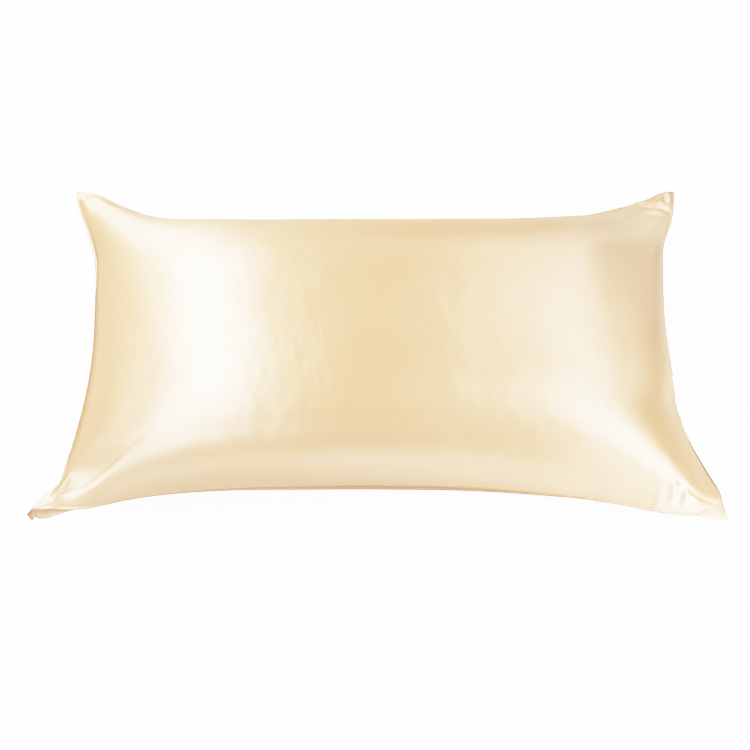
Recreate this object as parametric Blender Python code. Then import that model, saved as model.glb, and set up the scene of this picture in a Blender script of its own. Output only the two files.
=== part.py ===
"""Stuffed king-size satin pillowcase, lying on its back on a level surface.

One closed solid holds the case and the pillow that fills it: a front panel that crowns, a back
panel that the surface presses flat, and the seam that joins them all round, drawn in between four
thin ears. Metres, +Z up; X runs along the case and Y across it, with the origin under its middle.
"""

import math
from typing import NamedTuple

import bmesh
import bpy

NODE_NAME = "pillowcase"

# Heights of the stuffed case
SEAM_HEIGHT = 0.088  # of the seam above the surface, away from the ears
CROWN_RISE = 0.113  # of the front panel above the seam, at its middle
BELLY_DROP = 0.128  # of the back panel below the seam, if nothing pressed it flat
PRESSED_BLEND = 0.010  # height over which the back panel curves into its flat patch

# Seam: a narrow, stiff lip where the allowance lies inside
LIP_WIDTH = 0.004
LIP_THICKNESS = 0.0018

# How square the crown is: each exponent sharpens the fall towards a side
SHOULDER_LEFT = 3.4
SHOULDER_RIGHT = 4.4
SHOULDER_NEAR = 4.2
SHOULDER_FAR = 3.6
LEAN_LEFT = -0.2  # how much squarer that end is at its near half than at its far half
LEAN_RIGHT = 0.6
EDGE_ROUNDNESS = 0.52  # under 1, the panels meet the seam more steeply
EAR_ROUNDNESS = 0.90  # the same at the tips, where the panels lie flatter
EAR_REACH = 2.0  # how close to a tip that is so; higher is closer
TIP_SHARPNESS = 130  # of each ear; lower is blunter

# Mesh of each panel
CELLS_ALONG = 56
CELLS_ACROSS = 32
CROWDING = 0.65  # 0 spaces the cells evenly, 1 crowds them against the seam

SATIN_COLOUR = (0.86, 0.67, 0.40, 1.0)
SATIN_ROUGHNESS = 0.34


class Tip(NamedTuple):
    """The point of one ear."""

    x: float
    y: float
    z: float


class Inset(NamedTuple):
    """How far a side is drawn in from the straight line between its two tips."""

    along: float  # share of the way from one tip to the other
    depth: float


class Lump(NamedTuple):
    """A broad rise or hollow of the front panel, where the filling lies unevenly."""

    x: float
    y: float
    reach_along: float
    reach_across: float
    height: float


class Fold(NamedTuple):
    """A soft ridge, or a trough if its height is negative."""

    x: float
    y: float
    heading: float  # degrees from +X, anticlockwise seen from above
    length: float
    half_width: float
    height: float


NEAR_LEFT = Tip(-0.449, -0.243, 0.080)
NEAR_RIGHT = Tip(0.444, -0.246, 0.080)
FAR_LEFT = Tip(-0.451, 0.254, 0.080)
FAR_RIGHT = Tip(0.444, 0.254, 0.080)

# The lip's width as a share of each half span
LIP_ALONG = 2 * LIP_WIDTH / (FAR_RIGHT.x - FAR_LEFT.x)
LIP_ACROSS = 2 * LIP_WIDTH / (FAR_LEFT.y - NEAR_LEFT.y)

# Left to right
NEAR_SIDE = (
    Inset(0.00, 0.0),
    Inset(0.03, 0.006),
    Inset(0.08, 0.013),
    Inset(0.14, 0.021),
    Inset(0.23, 0.032),
    Inset(0.35, 0.038),
    Inset(0.50, 0.040),
    Inset(0.65, 0.037),
    Inset(0.77, 0.028),
    Inset(0.86, 0.017),
    Inset(0.92, 0.008),
    Inset(0.97, 0.005),
    Inset(1.00, 0.0),
)
FAR_SIDE = (
    Inset(0.00, 0.0),
    Inset(0.03, 0.005),
    Inset(0.08, 0.028),
    Inset(0.15, 0.055),
    Inset(0.25, 0.067),
    Inset(0.40, 0.072),
    Inset(0.60, 0.071),
    Inset(0.75, 0.063),
    Inset(0.88, 0.045),
    Inset(0.95, 0.022),
    Inset(0.98, 0.006),
    Inset(1.00, 0.0),
)
# Near to far
LEFT_SIDE = (
    Inset(0.00, 0.0),
    Inset(0.03, 0.011),
    Inset(0.07, 0.033),
    Inset(0.15, 0.046),
    Inset(0.25, 0.055),
    Inset(0.42, 0.061),
    Inset(0.60, 0.055),
    Inset(0.75, 0.045),
    Inset(0.85, 0.027),
    Inset(0.93, 0.009),
    Inset(1.00, 0.0),
)
RIGHT_SIDE = (
    Inset(0.00, 0.0),
    Inset(0.05, 0.006),
    Inset(0.12, 0.018),
    Inset(0.20, 0.036),
    Inset(0.28, 0.047),
    Inset(0.40, 0.048),
    Inset(0.55, 0.046),
    Inset(0.70, 0.039),
    Inset(0.80, 0.031),
    Inset(0.90, 0.011),
    Inset(0.95, 0.005),
    Inset(1.00, 0.0),
)

LUMPS = (
    Lump(0.37, 0.16, 0.10, 0.12, -0.030),
    Lump(0.29, 0.16, 0.06, 0.08, 0.006),
    Lump(0.36, -0.22, 0.09, 0.08, -0.018),
    Lump(-0.22, 0.04, 0.14, 0.12, 0.004),
)

FOLDS = (
    # Near left ear: a ridge beside the left seam
    Fold(-0.415, -0.228, 54, 0.065, 0.008, 0.003),
    # Near right ear: gathers above the seam
    Fold(0.376, -0.230, 88, 0.040, 0.010, 0.003),
    # Far right ear: its flap lies over a trough, and its edge rolls down
    Fold(0.434, 0.220, 169, 0.080, 0.008, 0.004),
    Fold(0.434, 0.208, 176, 0.080, 0.008, -0.003),
    Fold(0.4345, 0.253, 263, 0.045, 0.007, 0.003),
    # Far left ear: a short gather at its blunt tip
    Fold(-0.440, 0.243, 298, 0.070, 0.009, 0.003),
    # Right side: puckers that start on the seam
    Fold(0.400, -0.060, 172, 0.035, 0.007, 0.002),
    Fold(0.402, -0.092, 168, 0.038, 0.007, 0.002),
    Fold(0.406, -0.122, 163, 0.036, 0.007, 0.002),
)

FOLD_RISES_IN = 0.25  # share of a fold's length in which it reaches its full height
FOLD_HOLD_ON_BACK = 0.06  # panel bulge, as a share, at which the back no longer follows a fold


def smooth_step(share):
    """Rises from 0 to 1 as the share does, level at both ends."""
    share = min(max(share, 0.0), 1.0)
    return share * share * (3 - 2 * share)


def slope_at(rows, index):
    """Slope of the curve at one row: the chord's at the ends, level at a peak."""
    if index in (0, len(rows) - 1):
        first, second = rows[:2] if index == 0 else rows[-2:]
        return (second.depth - first.depth) / (second.along - first.along)
    before, here, after = rows[index - 1 : index + 2]
    run_in, run_out = here.along - before.along, after.along - here.along
    slope_in = (here.depth - before.depth) / run_in
    slope_out = (after.depth - here.depth) / run_out
    if slope_in * slope_out <= 0:
        return 0.0
    return (slope_in * run_out + slope_out * run_in) / (run_in + run_out)


def drawn_in(rows, along):
    """Depth of a side at a share of its length, on a smooth curve through its rows."""
    index = max(i for i in range(len(rows) - 1) if i == 0 or rows[i].along <= along)
    start, end = rows[index], rows[index + 1]
    run = end.along - start.along
    t = (along - start.along) / run
    lift = slope_at(rows, index) * run * t * (1 - t) ** 2
    drop = slope_at(rows, index + 1) * run * t * t * (1 - t)
    return start.depth + (end.depth - start.depth) * smooth_step(t) + lift - drop


def crowded(even, cells, lip_share):
    """Place on [-1, 1] of a point of an even grid, whose outermost cell becomes the lip."""
    inside = even / (1 - 2 / cells)
    if abs(inside) > 1.001:
        return math.copysign(1.0, even)
    place = (1 - CROWDING) * inside + CROWDING * math.sin(inside * math.pi / 2)
    return place * (1 - lip_share)


def blunted(s, t):
    """Pulls the corners of the square [-1, 1] in a little, so that no ear ends in a needle."""
    largest = max(abs(s), abs(t))
    if largest == 0:
        return s, t
    norm = (abs(s / largest) ** TIP_SHARPNESS + abs(t / largest) ** TIP_SHARPNESS) ** (1 / TIP_SHARPNESS)
    return s / norm, t / norm


def between_tips(u, v, axis):
    """One coordinate of the flat four-sided patch between the tips."""
    near = (1 - u) * NEAR_LEFT[axis] + u * NEAR_RIGHT[axis]
    far = (1 - u) * FAR_LEFT[axis] + u * FAR_RIGHT[axis]
    return (1 - v) * near + v * far


def plan_position(s, t):
    """Place in plan of the grid point (s, t), with all four sides drawn in."""
    s, t = blunted(s, t)
    u, v = (s + 1) / 2, (t + 1) / 2
    x = between_tips(u, v, 0) + (1 - u) * drawn_in(LEFT_SIDE, v) - u * drawn_in(RIGHT_SIDE, v)
    y = between_tips(u, v, 1) + (1 - v) * drawn_in(NEAR_SIDE, u) - v * drawn_in(FAR_SIDE, u)
    return x, y


def seam_height(s, t):
    """Height of the surface that the seam lies on: it sinks towards the ears."""
    ear = (s * t) ** 4
    tip = between_tips((s + 1) / 2, (t + 1) / 2, 2)
    return SEAM_HEIGHT + (tip - SEAM_HEIGHT) * ear


def bulge(s, t):
    """Share of its full height that a panel has at (s, t): 0 on the lip, 1 in the middle."""
    along = min(abs(s) / (1 - LIP_ALONG), 1.0)
    across = min(abs(t) / (1 - LIP_ACROSS), 1.0)
    square, lean = (SHOULDER_RIGHT, LEAN_RIGHT) if s > 0 else (SHOULDER_LEFT, LEAN_LEFT)
    fall = square * math.exp(-lean * t)
    fall_across = SHOULDER_FAR if t > 0 else SHOULDER_NEAR
    roundness = EDGE_ROUNDNESS + (EAR_ROUNDNESS - EDGE_ROUNDNESS) * (along * across) ** EAR_REACH
    return ((1 - along**fall) * (1 - across**fall_across)) ** roundness


def lump_height(x, y):
    """Total height of the lumps at a place in plan."""
    return sum(
        lump.height
        * math.exp(-(((x - lump.x) / lump.reach_along) ** 2) - ((y - lump.y) / lump.reach_across) ** 2)
        for lump in LUMPS
    )


def fold_height(fold, x, y):
    """Height of one fold at a place in plan. It widens and dies away along its length."""
    heading = math.radians(fold.heading)
    dx, dy = x - fold.x, y - fold.y
    along = (dx * math.cos(heading) + dy * math.sin(heading)) / fold.length
    if not 0 < along < 1:
        return 0.0
    aside = -dx * math.sin(heading) + dy * math.cos(heading)
    width = fold.half_width * (0.6 + along)
    swell = smooth_step(along / FOLD_RISES_IN) * smooth_step((1 - along) / (1 - FOLD_RISES_IN))
    return fold.height * swell * math.exp(-((aside / width) ** 2))


def pressed_flat(height):
    """Height above the surface of a point that would lie at the given height without it."""
    if height >= PRESSED_BLEND:
        return height
    if height <= -PRESSED_BLEND:
        return 0.0
    return (height + PRESSED_BLEND) ** 2 / (4 * PRESSED_BLEND)


def panel_position(s, t, is_front):
    """Place of the grid point (s, t) of the front or the back panel."""
    x, y = plan_position(s, t)
    share = bulge(s, t)
    lip = min(1.0, (1 - abs(s)) / LIP_ALONG, (1 - abs(t)) / LIP_ACROSS) * LIP_THICKNESS / 2
    folds = sum(fold_height(fold, x, y) for fold in FOLDS)
    seam = seam_height(s, t)
    if is_front:
        return x, y, seam + lip + (CROWN_RISE + lump_height(x, y)) * share + folds
    follows = math.exp(-share / FOLD_HOLD_ON_BACK)
    return x, y, pressed_flat(seam - lip - BELLY_DROP * share + folds * follows)


def add_panel(bm, is_front):
    """Adds one panel, a grid of cells laid over the plan and raised or lowered to its form."""
    grid = bmesh.ops.create_grid(bm, x_segments=CELLS_ALONG, y_segments=CELLS_ACROSS, size=1.0)
    for vert in grid["verts"]:
        s = crowded(vert.co.x, CELLS_ALONG, LIP_ALONG)
        t = crowded(vert.co.y, CELLS_ACROSS, LIP_ACROSS)
        vert.co = panel_position(s, t, is_front)
    if not is_front:
        cells = {face for vert in grid["verts"] for face in vert.link_faces}
        bmesh.ops.reverse_faces(bm, faces=list(cells))


def centre_over_origin(bm):
    """Puts the middle of the model's box over the origin."""
    for axis in (0, 1):
        places = [vert.co[axis] for vert in bm.verts]
        middle = (min(places) + max(places)) / 2
        for vert in bm.verts:
            vert.co[axis] -= middle


def satin():
    """Pale gold satin."""
    material = bpy.data.materials.new("champagne_satin")
    material.use_nodes = True
    shader = material.node_tree.nodes["Principled BSDF"]
    shader.inputs["Base Color"].default_value = SATIN_COLOUR
    shader.inputs["Roughness"].default_value = SATIN_ROUGHNESS
    shader.inputs["Metallic"].default_value = 0.0
    return material


def pillowcase():
    """Sews the two panels together along their seam."""
    bm = bmesh.new()
    add_panel(bm, is_front=True)
    add_panel(bm, is_front=False)
    seam = [vert for vert in bm.verts if vert.is_boundary]
    bmesh.ops.remove_doubles(bm, verts=seam, dist=1e-6)
    centre_over_origin(bm)
    mesh = bpy.data.meshes.new(NODE_NAME)
    bm.to_mesh(mesh)
    bm.free()
    mesh.shade_smooth()
    mesh.materials.append(satin())
    return bpy.data.objects.new(NODE_NAME, mesh)


for old in list(bpy.data.objects):
    bpy.data.objects.remove(old, do_unlink=True)
bpy.context.scene.collection.objects.link(pillowcase())
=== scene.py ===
"""Looks of a stuffed king-size pillowcase in pale gold satin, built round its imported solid."""

import math
from typing import NamedTuple

import bpy
import numpy as np
from mathutils import Matrix, Vector


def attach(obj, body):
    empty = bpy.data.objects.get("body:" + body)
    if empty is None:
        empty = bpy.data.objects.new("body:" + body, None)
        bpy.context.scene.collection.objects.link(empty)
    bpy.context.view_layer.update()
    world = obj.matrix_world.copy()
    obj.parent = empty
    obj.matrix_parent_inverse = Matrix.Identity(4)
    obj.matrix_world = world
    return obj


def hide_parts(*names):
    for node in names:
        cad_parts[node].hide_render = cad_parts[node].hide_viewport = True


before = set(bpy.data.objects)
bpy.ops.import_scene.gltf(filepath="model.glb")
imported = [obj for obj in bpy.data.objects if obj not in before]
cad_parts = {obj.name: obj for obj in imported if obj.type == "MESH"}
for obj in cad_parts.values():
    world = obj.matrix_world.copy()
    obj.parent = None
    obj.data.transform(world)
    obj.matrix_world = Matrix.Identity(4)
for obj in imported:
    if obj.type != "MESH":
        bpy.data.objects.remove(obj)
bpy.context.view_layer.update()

BODY = "root"
SOLID = "pillowcase"  # the CAD node that the satin case stands for

# Heights of the stuffed case, in metres as everywhere here
SEAM_HEIGHT = 0.088  # of the seam above the surface, away from the ears
CROWN_RISE = 0.113  # of the front panel above the seam, at its middle
BELLY_DROP = 0.128  # of the back panel below the seam, if nothing pressed it flat
PRESSED_BLEND = 0.010  # height over which the back panel curves into its flat patch

# Seam: a narrow, stiff lip where the allowance lies inside
LIP_WIDTH = 0.004
LIP_THICKNESS = 0.0018

# How square the crown is: each exponent sharpens the fall towards a side
SHOULDER_LEFT = 3.4
SHOULDER_RIGHT = 4.4
SHOULDER_NEAR = 4.2
SHOULDER_FAR = 3.3
LEAN_LEFT = -0.2  # how much squarer that end is at its near half than at its far half
LEAN_RIGHT = 0.6
EDGE_ROUNDNESS = 0.52  # under 1, the panels meet the seam more steeply
EAR_ROUNDNESS = 0.90  # the same at the tips, where the panels lie flatter
EAR_REACH = 2.0  # how close to a tip that is so; higher is closer
TIP_SHARPNESS = 130  # of each ear; lower is blunter
EAR_SINK = 4  # how close to a tip the seam sinks to it; higher is closer
CREASE_ANGLE = 70  # degrees; the cloth is shaded smooth across any softer bend

# Mesh of each panel
CELLS_ALONG = 270
CELLS_ACROSS = 154
LIP_CELLS = 4  # across the lip, in each direction
CROWDING = 0.65  # 0 spaces the cells evenly, 1 crowds them against the seam
INNER = (slice(1, -1), slice(1, -1))  # of a panel's grid, all but its outline
CLOTH_MAP = "cloth"  # the UV map, in which each panel lies flat


class Tip(NamedTuple):
    """The point of one ear."""

    x: float
    y: float
    z: float


class Inset(NamedTuple):
    """How far a side is drawn in from the straight line between its two tips."""

    along: float  # share of the way from one tip to the other
    depth: float


class Lump(NamedTuple):
    """A broad rise or hollow of the front panel, where the filling lies unevenly."""

    x: float
    y: float
    reach_along: float
    reach_across: float
    height: float


class Fold(NamedTuple):
    """A soft ridge, or a trough if its height is negative."""

    x: float
    y: float
    heading: float  # degrees from +X, anticlockwise seen from above
    length: float
    half_width: float
    height: float


class Overhang(NamedTuple):
    """Where the back panel hangs out past the seam, and so shows from the front."""

    x: float
    y: float
    reach_along: float
    reach_across: float
    out: tuple  # how far the back panel moves there


NEAR_LEFT = Tip(-0.449, -0.243, 0.080)
NEAR_RIGHT = Tip(0.4385, -0.2275, 0.082)
FAR_LEFT = Tip(-0.451, 0.254, 0.080)
FAR_RIGHT = Tip(0.444, 0.254, 0.080)

# The lip's width as a share of each half span
LIP_ALONG = 2 * LIP_WIDTH / (FAR_RIGHT.x - FAR_LEFT.x)
LIP_ACROSS = 2 * LIP_WIDTH / (FAR_LEFT.y - NEAR_LEFT.y)

MIDDLE = (-0.0034, 0.0041)  # in plan, of the solid's box before it is centred over the origin

# Left to right
NEAR_SIDE = (
    Inset(0.00, 0.0),
    Inset(0.010, 0.0105),
    Inset(0.036, 0.0098),
    Inset(0.070, 0.0092),
    Inset(0.085, 0.0095),
    Inset(0.108, 0.0125),
    Inset(0.14, 0.0184),
    Inset(0.23, 0.0277),
    Inset(0.35, 0.0315),
    Inset(0.50, 0.0307),
    Inset(0.65, 0.0250),
    Inset(0.77, 0.0138),
    Inset(0.814, 0.0085),
    Inset(0.880, -0.0031),
    Inset(0.906, -0.0080),
    Inset(0.936, -0.0115),
    Inset(0.954, -0.0125),
    Inset(0.972, -0.0080),
    Inset(0.984, -0.0040),
    Inset(1.00, 0.0),
)
FAR_SIDE = (
    Inset(0.00, 0.0),
    Inset(0.03, 0.005),
    Inset(0.08, 0.028),
    Inset(0.15, 0.055),
    Inset(0.25, 0.067),
    Inset(0.40, 0.072),
    Inset(0.60, 0.071),
    Inset(0.75, 0.062),
    Inset(0.88, 0.039),
    Inset(0.95, 0.017),
    Inset(0.98, 0.003),
    Inset(1.00, 0.0),
)
# Near to far
LEFT_SIDE = (
    Inset(0.00, 0.0),
    Inset(0.03, 0.011),
    Inset(0.07, 0.033),
    Inset(0.15, 0.046),
    Inset(0.25, 0.055),
    Inset(0.42, 0.061),
    Inset(0.60, 0.055),
    Inset(0.75, 0.045),
    Inset(0.85, 0.027),
    Inset(0.93, 0.009),
    Inset(1.00, 0.0),
)
RIGHT_SIDE = (
    Inset(0.00, 0.0),
    Inset(0.026, 0.0004),
    Inset(0.086, 0.013),
    Inset(0.169, 0.031),
    Inset(0.252, 0.043),
    Inset(0.377, 0.0446),
    Inset(0.533, 0.0434),
    Inset(0.689, 0.0373),
    Inset(0.792, 0.0299),
    Inset(0.896, 0.0104),
    Inset(0.948, 0.0047),
    Inset(1.00, 0.0),
)

LUMPS = (
    # The filling doesn't reach into the far right corner, and rises beside it
    Lump(0.38, 0.14, 0.07, 0.11, -0.034),
    Lump(0.29, 0.16, 0.06, 0.08, 0.006),
    # Slack near right corner
    Lump(0.36, -0.22, 0.09, 0.08, -0.018),
    # Under the left band of sheen
    Lump(-0.22, 0.04, 0.14, 0.12, 0.004),
)

FOLDS = (
    # Near left ear: slack across its root, a ridge beside the left seam and a pinch at the tip
    Fold(-0.420, -0.228, 30, 0.170, 0.017, -0.0065),
    Fold(-0.413, -0.226, 60, 0.064, 0.0034, 0.0036),
    Fold(-0.422, -0.222, 62, 0.058, 0.0038, -0.0022),
    Fold(-0.425, -0.234, 20, 0.026, 0.0030, 0.0012),
    # Near right ear: gathers above the seam, and a trough that runs to the tip
    Fold(0.352, -0.236, 94, 0.036, 0.0046, 0.0010),
    Fold(0.367, -0.236, 92, 0.044, 0.0040, 0.0022),
    Fold(0.3755, -0.236, 90, 0.034, 0.0036, -0.0018),
    Fold(0.384, -0.236, 87, 0.038, 0.0038, 0.0020),
    Fold(0.425, -0.218, 128, 0.048, 0.0040, -0.0020),
    # Far right ear: its flap lies over a trough, and its edge rolls down
    Fold(0.434, 0.2200, 169, 0.070, 0.0032, 0.0056),
    Fold(0.436, 0.2135, 174, 0.072, 0.0036, -0.0064),
    Fold(0.425, 0.2050, 178, 0.060, 0.0036, 0.0024),
    Fold(0.422, 0.1980, 184, 0.050, 0.0034, -0.0014),
    Fold(0.4345, 0.2530, 263, 0.045, 0.0036, 0.0040),
    Fold(0.428, 0.2530, 262, 0.040, 0.0030, -0.0026),
    # Far left ear: short gathers at its blunt tip
    Fold(-0.440, 0.243, 298, 0.075, 0.0070, 0.0036),
    Fold(-0.446, 0.236, 292, 0.060, 0.0040, -0.0026),
    Fold(-0.436, 0.246, 325, 0.030, 0.0028, 0.0018),
    Fold(-0.440, 0.240, 335, 0.030, 0.0028, -0.0016),
    # Right side: puckers that start on the seam
    Fold(0.398, -0.044, 176, 0.040, 0.0040, 0.0022),
    Fold(0.398, -0.060, 171, 0.048, 0.0045, 0.0036),
    Fold(0.399, -0.076, 168, 0.040, 0.0040, 0.0028),
    Fold(0.400, -0.092, 165, 0.050, 0.0050, 0.0039),
    Fold(0.402, -0.108, 164, 0.038, 0.0040, 0.0028),
    Fold(0.405, -0.124, 160, 0.046, 0.0050, 0.0036),
    Fold(0.411, -0.146, 156, 0.036, 0.0045, 0.0025),
)

OVERHANGS = (
    Overhang(-0.430, -0.236, 0.034, 0.018, (-0.003, -0.014, -0.018)),
    Overhang(0.4385, -0.234, 0.026, 0.017, (0.018, -0.028, -0.012)),
)
OVERHANG_TURN = 0.004  # width of cloth in which the back panel leaves the seam

# Ripples that the stitches draw along the seam
RIPPLE_HEIGHT = 0.0004
RIPPLE_LENGTH = 0.017  # along the seam, for each radian of its wave
RIPPLE_REACH = 0.005  # from the seam to where a ripple is highest
RIPPLE_SWAY, SWAY_LENGTH = 2.1, 0.071  # radians by which the ripples crowd and spread in turn
RIPPLE_SWELL, SWELL_LENGTH = 0.4, 0.113  # share by which they rise and sink in turn
RIPPLE_FADE = 6  # how close to a tip they die away; higher is closer

FOLD_START_WIDTH = 0.6  # of a fold's half width; it widens by one half width along its length
FOLD_RISES_IN = 0.25  # share of a fold's length in which it reaches its full height
FOLD_HOLD_ON_BACK = 0.06  # panel bulge, as a share, at which the back no longer follows a fold

# Satin
SATIN_GOLD = (0.80, 0.545, 0.30, 1.0)
SATIN_DEEP_GOLD = (0.77, 0.50, 0.265, 1.0)
PAINTED_SEAM_SHADE = (0.52, 0.29, 0.11, 1.0)  # painted shade: a darker brown at the seam's edge, where shade falls at the stitches
SEAM_SHADE = (0.0030, 0.0008)  # from the cloth's edge, where that painted shade begins and is full
SATIN_ROUGHNESS = (0.46, 0.54)  # where the cloth lies smoothest and roughest
SATIN_IOR = 3.6
SATIN_ANISOTROPY = 0.95
CLOTH_SIZE = (0.508, 0.914, 1.0)  # of a panel laid flat: across, along


class Relief(NamedTuple):
    """One scale of the cloth's surface: its cells to the metre each way, and its height."""

    across: float
    along: float
    detail: float
    height: float


CLOUDS = Relief(9, 11, 3.0, 0.0017)  # slack in the cloth over the filling
SLUBS = Relief(520, 45, 2.0, 0.00006)  # threads of uneven thickness, which run along the case
GRAIN = Relief(1500, 1100, 1.0, 0.00002)  # the floats of the weave

# Camera: where it looks, from how high and how far
CAMERA_AIM = Vector((-0.0004, -0.0529, 0.088))
CAMERA_ELEVATION = 66.9  # degrees
CAMERA_DISTANCE = 1.1426
CAMERA_LENS = 40.7  # mm
CAMERA_SENSOR = 36  # mm

# Stage, which only the camera sees
WHITE = (1, 1, 1, 1)
FLOOR_SIZE = 12
FLOOR_GREY = (0.45, 0.45, 0.45, 1)
FLOOR_ROUGHNESS = 0.9
FLOOR_GLOW = 1.4
BACKDROP_BLACK = (0, 0, 0, 1)
BACKDROP_RADIUS = 5.5
BACKDROP_GLOW = 1.5

ROOM_LIGHT = 0.005


class Softbox(NamedTuple):
    """A rectangular light, and the point that it faces."""

    place: tuple
    aim: tuple
    width: float
    length: float
    brightness: float


# How bright a light is, in watts for each square metre of its face
DIM = 3
SOFT = 7.5
FULL = 11
KEY = 30

LEFT_BAND = (-0.20, 0.0, 0.2)
RIGHT_BAND = (0.25, 0.0, 0.2)
CARD_HEIGHT = 0.004


def card(x, y, width, length, brightness):
    """A light that lies low and faces straight up."""
    return Softbox((x, y, CARD_HEIGHT), (x, y, 1.0), width, length, brightness)


SOFTBOXES = {
    # Left band of sheen
    "left_high": Softbox((-0.55, 0.90, 1.75), LEFT_BAND, 0.5, 1.6, SOFT),
    "left_far": Softbox((-0.95, 0.90, 1.60), LEFT_BAND, 0.5, 1.6, KEY),
    "left_near": Softbox((-0.95, -0.70, 1.60), LEFT_BAND, 0.5, 1.6, FULL),
    "left_middle": Softbox((-1.25, 0.20, 1.40), LEFT_BAND, 0.5, 1.4, FULL),
    "left_low": Softbox((-1.60, 0.60, 1.05), LEFT_BAND, 0.5, 1.4, SOFT),
    "left_wall": Softbox((-2.00, 0.10, 0.60), (-0.35, 0.0, 0.1), 0.9, 1.6, DIM),
    # Right band of sheen
    "right_high": Softbox((0.50, 0.50, 1.85), RIGHT_BAND, 0.5, 1.4, SOFT),
    "right_far": Softbox((0.85, 0.80, 1.60), RIGHT_BAND, 0.5, 1.4, DIM),
    "right_centre": Softbox((1.00, 0.05, 1.50), RIGHT_BAND, 0.5, 0.8, SOFT),
    "right_near": Softbox((0.85, -0.70, 1.60), RIGHT_BAND, 0.5, 1.4, SOFT),
    "right_middle": Softbox((1.15, -0.80, 1.40), RIGHT_BAND, 0.5, 1.2, FULL),
    "right_low": Softbox((1.50, -0.90, 1.10), RIGHT_BAND, 0.5, 1.2, DIM),
    "right_lowest": Softbox((1.60, -1.30, 0.80), RIGHT_BAND, 0.6, 1.0, SOFT),
    "right_wall": Softbox((1.80, -1.40, 0.50), (0.35, -0.1, 0.1), 1.0, 1.2, SOFT),
    "right_close": Softbox((0.95, -0.75, 0.35), (0.38, -0.12, 0.12), 0.4, 0.4, SOFT),
    # Far end and front
    "far_left": Softbox((-0.60, 2.20, 1.20), (-0.20, 0.2, 0.1), 0.8, 0.8, SOFT),
    "front_left": Softbox((-1.20, -2.10, 0.70), (-0.30, -0.15, 0.1), 1.2, 1.8, DIM),
    "front_right": Softbox((1.20, -2.10, 0.70), (0.30, -0.15, 0.1), 1.2, 1.8, DIM),
    "front_left_middle": Softbox((-0.80, -2.00, 1.25), (-0.20, -0.15, 0.1), 1.2, 0.8, DIM),
    "front_right_middle": Softbox((0.80, -2.00, 1.25), (0.20, -0.15, 0.1), 1.2, 0.8, DIM),
    "front_right_high": Softbox((0.80, -1.50, 1.80), (0.20, -0.15, 0.1), 0.9, 0.9, DIM),
    # In place of the light that a white floor would throw up
    "card_near_left": card(-0.75, -0.62, 0.7, 0.6, DIM),
    "card_near": card(0.00, -0.65, 0.9, 0.6, SOFT),
    "card_near_right": card(0.75, -0.62, 0.7, 0.6, FULL),
    "card_left": card(-0.95, 0.00, 0.7, 0.7, DIM),
    "card_right": card(0.90, -0.36, 0.6, 0.5, SOFT),
    "card_far": card(0.00, 0.70, 1.2, 0.6, SOFT),
    "card_right_under": card(0.60, 0.02, 0.3, 0.5, DIM),
}

# Film: light up to the knee is kept, and above it fades smoothly towards white
FILM_KNEE = 0.6
FILM_BRIGHTEST = 3.0
FILM_POINTS = (0.2, 0.4, 0.6, 0.75, 0.9, 1.1, 1.4, 1.8, 2.3)


def smooth_step(share):
    """Rises from 0 to 1 as the share does, level at both ends."""
    share = np.clip(share, 0.0, 1.0)
    return share * share * (3 - 2 * share)


def slopes(along, depth):
    """Slope at each row of a side: the chord's at the ends, level at a peak."""
    run, chord = np.diff(along), np.diff(depth) / np.diff(along)
    blended = (chord[:-1] * run[1:] + chord[1:] * run[:-1]) / (run[1:] + run[:-1])
    inner = np.where(chord[:-1] * chord[1:] <= 0, 0.0, blended)
    return np.concatenate(([chord[0]], inner, [chord[-1]]))


def drawn_in(rows, share):
    """Depth of a side at each share of its length, on a smooth curve through its rows."""
    along, depth = np.array(rows).T
    slope = slopes(along, depth)
    index = np.clip(np.searchsorted(along, share, side="right") - 1, 0, len(rows) - 2)
    run = along[index + 1] - along[index]
    t = (share - along[index]) / run
    lift = slope[index] * run * t * (1 - t) ** 2
    drop = slope[index + 1] * run * t * t * (1 - t)
    return depth[index] + (depth[index + 1] - depth[index]) * smooth_step(t) + lift - drop


def grid_places(cells, lip_share):
    """Places on [-1, 1] of a panel's grid lines: crowded against the lip, even across it."""
    inside = np.linspace(-1, 1, cells - 2 * LIP_CELLS + 1)
    inside = (1 - CROWDING) * inside + CROWDING * np.sin(inside * math.pi / 2)
    lip = np.linspace(1 - lip_share, 1, LIP_CELLS + 1)[1:]
    return np.concatenate((-lip[::-1], inside * (1 - lip_share), lip))


def blunted(s, t):
    """Pulls the corners of the square [-1, 1] in a little, so that no ear ends in a needle."""
    largest = np.maximum(abs(s), abs(t))
    smallest = np.minimum(abs(s), abs(t))
    share = smallest / np.maximum(largest, 1e-9)
    norm = (1 + share**TIP_SHARPNESS) ** (1 / TIP_SHARPNESS)
    return s / norm, t / norm


def between_tips(u, v, axis):
    """One coordinate of the flat four-sided patch between the tips."""
    near = (1 - u) * NEAR_LEFT[axis] + u * NEAR_RIGHT[axis]
    far = (1 - u) * FAR_LEFT[axis] + u * FAR_RIGHT[axis]
    return (1 - v) * near + v * far


def plan_position(s, t):
    """Place in plan of each grid point (s, t), with all four sides drawn in."""
    s, t = blunted(s, t)
    u, v = (s + 1) / 2, (t + 1) / 2
    x = between_tips(u, v, 0) + (1 - u) * drawn_in(LEFT_SIDE, v) - u * drawn_in(RIGHT_SIDE, v)
    y = between_tips(u, v, 1) + (1 - v) * drawn_in(NEAR_SIDE, u) - v * drawn_in(FAR_SIDE, u)
    return x, y


def seam_height(s, t):
    """Height of the surface that the seam lies on: it sinks towards the ears."""
    ear = (s * t) ** EAR_SINK
    tip = between_tips((s + 1) / 2, (t + 1) / 2, 2)
    return SEAM_HEIGHT + (tip - SEAM_HEIGHT) * ear


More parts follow.
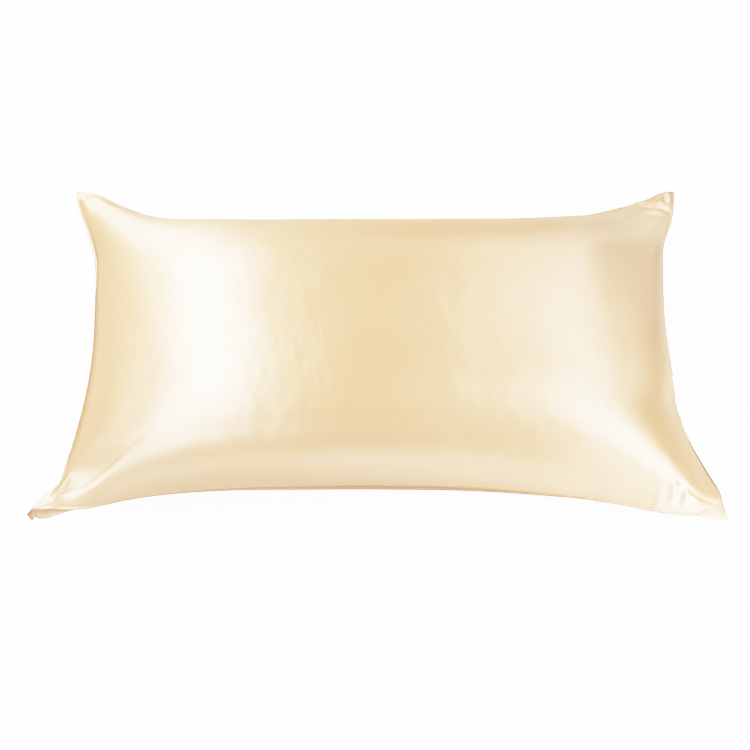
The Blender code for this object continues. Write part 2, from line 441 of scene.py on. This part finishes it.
def bulge(s, t):
    """Share of its full height that a panel has at (s, t): 0 on the lip, 1 in the middle."""
    along = np.minimum(abs(s) / (1 - LIP_ALONG), 1.0)
    across = np.minimum(abs(t) / (1 - LIP_ACROSS), 1.0)
    fall_left = SHOULDER_LEFT * np.exp(-LEAN_LEFT * t)
    fall_right = SHOULDER_RIGHT * np.exp(-LEAN_RIGHT * t)
    fall_along = np.where(s > 0, fall_right, fall_left)
    fall_across = np.where(t > 0, SHOULDER_FAR, SHOULDER_NEAR)
    ear = (along * across) ** EAR_REACH
    roundness = EDGE_ROUNDNESS + (EAR_ROUNDNESS - EDGE_ROUNDNESS) * ear
    return ((1 - along**fall_along) * (1 - across**fall_across)) ** roundness


def nearness(place, x, y):
    """Rises to 1 as (x, y) nears the middle of a lump or an overhang."""
    along = (x - place.x) / place.reach_along
    across = (y - place.y) / place.reach_across
    return np.exp(-(along**2 + across**2))


def lump_height(x, y):
    """Total height of the lumps at each place in plan."""
    return sum(lump.height * nearness(lump, x, y) for lump in LUMPS)


def fold_height(fold, x, y):
    """Height of one fold at each place in plan. It widens and dies away along its length."""
    heading = math.radians(fold.heading)
    dx, dy = x - fold.x, y - fold.y
    along = (dx * math.cos(heading) + dy * math.sin(heading)) / fold.length
    aside = -dx * math.sin(heading) + dy * math.cos(heading)
    width = fold.half_width * (FOLD_START_WIDTH + np.clip(along, 0, 1))
    swell = smooth_step(along / FOLD_RISES_IN) * smooth_step((1 - along) / (1 - FOLD_RISES_IN))
    return fold.height * swell * np.exp(-((aside / width) ** 2))


def ripple_height(s, t, x, y):
    """Height of the ripples along the seam."""
    from_side = (1 - abs(s)) * (FAR_RIGHT.x - FAR_LEFT.x) / 2
    from_end = (1 - abs(t)) * (FAR_LEFT.y - NEAR_LEFT.y) / 2
    inward = np.minimum(from_side, from_end) / RIPPLE_REACH
    place = 2 * math.pi * np.where(from_side < from_end, y, x)
    wave = np.sin(place / RIPPLE_LENGTH + RIPPLE_SWAY * np.sin(place / SWAY_LENGTH))
    swell = 1 - RIPPLE_SWELL + RIPPLE_SWELL * np.sin(place / SWELL_LENGTH)
    fade = 1 - abs(s * t) ** RIPPLE_FADE
    return RIPPLE_HEIGHT * wave * swell * fade * inward * np.exp(1 - inward)


def pressed_flat(height):
    """Height above the surface of points that would lie at the given heights without it."""
    blended = (height + PRESSED_BLEND) ** 2 / (4 * PRESSED_BLEND)
    blended = np.where(height <= -PRESSED_BLEND, 0.0, blended)
    return np.where(height >= PRESSED_BLEND, height, blended)


def panel_points(s, t, is_front):
    """Places of the grid points (s, t) of the front or the back panel, one row each."""
    x, y = plan_position(s, t)
    share = bulge(s, t)
    edge = np.minimum((1 - abs(s)) / LIP_ALONG, (1 - abs(t)) / LIP_ACROSS)
    lip = np.sqrt(np.clip(edge, 0, 1)) * LIP_THICKNESS / 2
    folds = sum(fold_height(fold, x, y) for fold in FOLDS) + ripple_height(s, t, x, y)
    seam = seam_height(s, t)
    if is_front:
        z = seam + lip + (CROWN_RISE + lump_height(x, y)) * share + folds
    else:
        follows = np.exp(-share / FOLD_HOLD_ON_BACK)
        z = pressed_flat(seam - lip - BELLY_DROP * share + folds * follows)
        for hang in OVERHANGS:
            weight = smooth_step(edge * LIP_WIDTH / OVERHANG_TURN) * nearness(hang, x, y)
            x, y, z = (place + weight * out for place, out in zip((x, y, z), hang.out))
    return np.stack((x, y, z), axis=-1)


def panel_faces(index):
    """Quads of a grid of vertex numbers, facing up."""
    corners = (index[:-1, :-1], index[1:, :-1], index[1:, 1:], index[:-1, 1:])
    return np.stack(corners, axis=-1).reshape(-1, 4)


def map_cloth(mesh, s, t):
    """Lays each panel flat in the mesh's UV map."""
    cloth = np.stack((t, s), axis=-1) / 2 + 0.5
    cloth = np.concatenate((cloth.reshape(-1, 2), cloth[INNER].reshape(-1, 2)))
    corners = np.empty(len(mesh.loops), dtype=np.int32)
    mesh.loops.foreach_get("vertex_index", corners)
    layer = mesh.uv_layers.new(name=CLOTH_MAP)
    layer.data.foreach_set("uv", cloth[corners].astype(np.float32).ravel())


def satin_case():
    """The whole case: two panels on one grid of cloth, sewn along their shared outline."""
    places_along = grid_places(CELLS_ALONG, LIP_ALONG)
    places_across = grid_places(CELLS_ACROSS, LIP_ACROSS)
    s, t = np.meshgrid(places_along, places_across, indexing="ij")
    front = np.arange(s.size).reshape(s.shape)
    back = front.copy()
    back[INNER] = s.size + np.arange(s[INNER].size).reshape(s[INNER].shape)
    front_points = panel_points(s, t, is_front=True).reshape(-1, 3)
    back_points = panel_points(s[INNER], t[INNER], is_front=False).reshape(-1, 3)
    points = np.concatenate((front_points, back_points))
    points[:, :2] -= MIDDLE
    faces = np.concatenate((panel_faces(front), panel_faces(back)[:, ::-1]))
    mesh = bpy.data.meshes.new("satin_case")
    mesh.from_pydata(points.tolist(), [], faces.tolist())
    map_cloth(mesh, s, t)
    mesh.shade_smooth()
    mesh.set_sharp_from_angle(angle=math.radians(CREASE_ANGLE))
    case = bpy.data.objects.new("satin_case", mesh)
    bpy.context.scene.collection.objects.link(case)
    return case


def cloth_noise(tree, flat, relief):
    """A noise over the flat cloth at one scale of its surface."""
    stretch = tree.nodes.new("ShaderNodeVectorMath")
    stretch.operation = "MULTIPLY"
    stretch.inputs[1].default_value = (relief.across, relief.along, 1.0)
    noise = tree.nodes.new("ShaderNodeTexNoise")
    noise.noise_dimensions = "2D"
    noise.inputs["Scale"].default_value = 1.0
    noise.inputs["Detail"].default_value = relief.detail
    tree.links.new(flat, stretch.inputs[0])
    tree.links.new(stretch.outputs["Vector"], noise.inputs["Vector"])
    return noise.outputs["Fac"]


def raised(tree, height, relief, under):
    """Normals of the cloth with one more scale of relief on those under it."""
    bump = tree.nodes.new("ShaderNodeBump")
    bump.inputs["Strength"].default_value = 1.0
    bump.inputs["Distance"].default_value = relief.height
    tree.links.new(height, bump.inputs["Height"])
    if under:
        tree.links.new(under, bump.inputs["Normal"])
    return bump.outputs["Normal"]


def mixed(tree, share, start, end):
    """A colour between two others, each of them a colour or the output of a node."""
    mix = tree.nodes.new("ShaderNodeMix")
    mix.data_type = "RGBA"
    for name, colour in (("A", start), ("B", end)):
        if isinstance(colour, tuple):
            mix.inputs[name].default_value = colour
        else:
            tree.links.new(colour, mix.inputs[name])
    tree.links.new(share, mix.inputs["Factor"])
    return mix.outputs["Result"]


def seam_shade_share(tree, flat):
    """Rises from 0 to 1 as the cloth reaches its seam, where the painted seam shade lies."""
    split = tree.nodes.new("ShaderNodeSeparateXYZ")
    tree.links.new(flat, split.inputs["Vector"])
    nearest = tree.nodes.new("ShaderNodeMath")
    nearest.operation = "MAXIMUM"
    for index, axis in enumerate("XY"):
        half = CLOTH_SIZE[index] / 2
        offset = tree.nodes.new("ShaderNodeMath")
        offset.operation = "SUBTRACT"
        offset.inputs[1].default_value = half
        distance = tree.nodes.new("ShaderNodeMath")
        distance.operation = "ABSOLUTE"
        shade = tree.nodes.new("ShaderNodeMapRange")
        shade.interpolation_type = "SMOOTHSTEP"
        shade.inputs["From Min"].default_value = half - SEAM_SHADE[0]
        shade.inputs["From Max"].default_value = half - SEAM_SHADE[1]
        tree.links.new(split.outputs[axis], offset.inputs[0])
        tree.links.new(offset.outputs["Value"], distance.inputs[0])
        tree.links.new(distance.outputs["Value"], shade.inputs["Value"])
        tree.links.new(shade.outputs["Result"], nearest.inputs[index])
    return nearest.outputs["Value"]


def satin():
    """Pale gold satin: a strong white sheen, drawn out across its long floating threads."""
    material = bpy.data.materials.new("champagne_satin")
    material.use_nodes = True
    tree = material.node_tree
    nodes, links = tree.nodes, tree.links
    shader = nodes["Principled BSDF"]
    shader.inputs["IOR"].default_value = SATIN_IOR
    shader.inputs["Anisotropic"].default_value = SATIN_ANISOTROPY
    tangent = nodes.new("ShaderNodeTangent")
    tangent.direction_type = "UV_MAP"
    tangent.uv_map = CLOTH_MAP
    links.new(tangent.outputs["Tangent"], shader.inputs["Tangent"])

    cloth = nodes.new("ShaderNodeUVMap")
    cloth.uv_map = CLOTH_MAP
    flat = nodes.new("ShaderNodeVectorMath")
    flat.operation = "MULTIPLY"
    flat.inputs[1].default_value = CLOTH_SIZE
    links.new(cloth.outputs["UV"], flat.inputs[0])
    flat = flat.outputs["Vector"]
    reliefs = (CLOUDS, SLUBS, GRAIN)
    heights = [cloth_noise(tree, flat, relief) for relief in reliefs]
    clouds, slubs = heights[:2]

    weave = mixed(tree, slubs, SATIN_DEEP_GOLD, SATIN_GOLD)
    # Painted shade: the cloth's colour darkens to brown at the seam's edge
    links.new(mixed(tree, seam_shade_share(tree, flat), weave, PAINTED_SEAM_SHADE), shader.inputs["Base Color"])

    rough = nodes.new("ShaderNodeMapRange")
    rough.inputs["To Min"].default_value, rough.inputs["To Max"].default_value = SATIN_ROUGHNESS
    links.new(clouds, rough.inputs["Value"])
    links.new(rough.outputs["Result"], shader.inputs["Roughness"])

    normal = None
    for height, relief in zip(heights, reliefs):
        normal = raised(tree, height, relief, normal)
    links.new(normal, shader.inputs["Normal"])
    return material


def glowing(name, colour, glow):
    """A new material that gives off white light, with its shader."""
    material = bpy.data.materials.new(name)
    material.use_nodes = True
    shader = material.node_tree.nodes["Principled BSDF"]
    shader.inputs["Base Color"].default_value = colour
    shader.inputs["Emission Color"].default_value = WHITE
    shader.inputs["Emission Strength"].default_value = glow
    return material, shader


def floor():
    """A plain pale floor, wide enough to fill the view. It throws no light up onto the case."""
    bpy.ops.mesh.primitive_plane_add(size=FLOOR_SIZE)
    ground = bpy.context.object
    ground.name = "floor"
    material, shader = glowing("floor_white", FLOOR_GREY, FLOOR_GLOW)
    shader.inputs["Roughness"].default_value = FLOOR_ROUGHNESS
    ground.data.materials.append(material)
    ground.visible_glossy = ground.visible_diffuse = False
    return ground


def backdrop():
    """A pale wall round the floor, which only the camera sees."""
    bpy.ops.mesh.primitive_uv_sphere_add(segments=64, ring_count=32, radius=BACKDROP_RADIUS)
    wall = bpy.context.object
    wall.name = "backdrop"
    material, shader = glowing("backdrop_white", BACKDROP_BLACK, BACKDROP_GLOW)
    shader.inputs["Specular IOR Level"].default_value = 0.0
    wall.data.materials.append(material)
    wall.visible_diffuse = wall.visible_glossy = wall.visible_shadow = False
    wall.visible_transmission = wall.visible_volume_scatter = False
    return wall


def hang_softbox(name, box):
    """Makes one of the lights, with its length as near along Y as its aim lets it be."""
    light = bpy.data.lights.new(name, "AREA")
    light.shape = "RECTANGLE"
    light.size, light.size_y = box.width, box.length
    light.energy = box.brightness * box.width * box.length
    lamp = bpy.data.objects.new(name, light)
    facing = (Vector(box.place) - Vector(box.aim)).normalized()
    along = (Vector((0, 1, 0)) - facing * facing.y).normalized()
    turn = Matrix((along.cross(facing), along, facing)).transposed()
    lamp.visible_camera = False
    lamp.matrix_world = Matrix.LocRotScale(Vector(box.place), turn, None)
    bpy.context.scene.collection.objects.link(lamp)


def film():
    """Gives bright tones a photograph's soft shoulder, so that the sheen fades to white."""
    settings = bpy.context.scene.view_settings
    settings.view_transform = "Standard"
    settings.use_curve_mapping = True
    curves = settings.curve_mapping
    curves.white_level = (FILM_BRIGHTEST,) * 3
    room = 1 - FILM_KNEE
    for light in FILM_POINTS:
        shown = light if light <= FILM_KNEE else 1 - room * math.exp((FILM_KNEE - light) / room)
        curves.curves[3].points.new(light / FILM_BRIGHTEST, shown)
    curves.update()


def camera():
    """The photograph's camera, looking down at the front panel."""
    lens = bpy.data.cameras.new("camera")
    lens.sensor_width = CAMERA_SENSOR
    lens.lens = CAMERA_LENS
    eye = bpy.data.objects.new("camera", lens)
    rise = math.radians(CAMERA_ELEVATION)
    eye.location = CAMERA_AIM + CAMERA_DISTANCE * Vector((0, -math.cos(rise), math.sin(rise)))
    eye.rotation_euler = (math.pi / 2 - rise, 0, 0)
    bpy.context.scene.collection.objects.link(eye)
    bpy.context.scene.camera = eye


def studio():
    """Soft light: a pale room, and the softboxes and low cards in it."""
    world = bpy.data.worlds.new("studio")
    bpy.context.scene.world = world
    world.use_nodes = True
    room = world.node_tree.nodes["Background"]
    room.inputs["Color"].default_value = WHITE
    room.inputs["Strength"].default_value = ROOM_LIGHT
    for name, box in SOFTBOXES.items():
        hang_softbox(name, box)


case = satin_case()
case.data.materials.append(satin())
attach(case, BODY)
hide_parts(SOLID)
floor()
backdrop()
studio()
film()
camera()
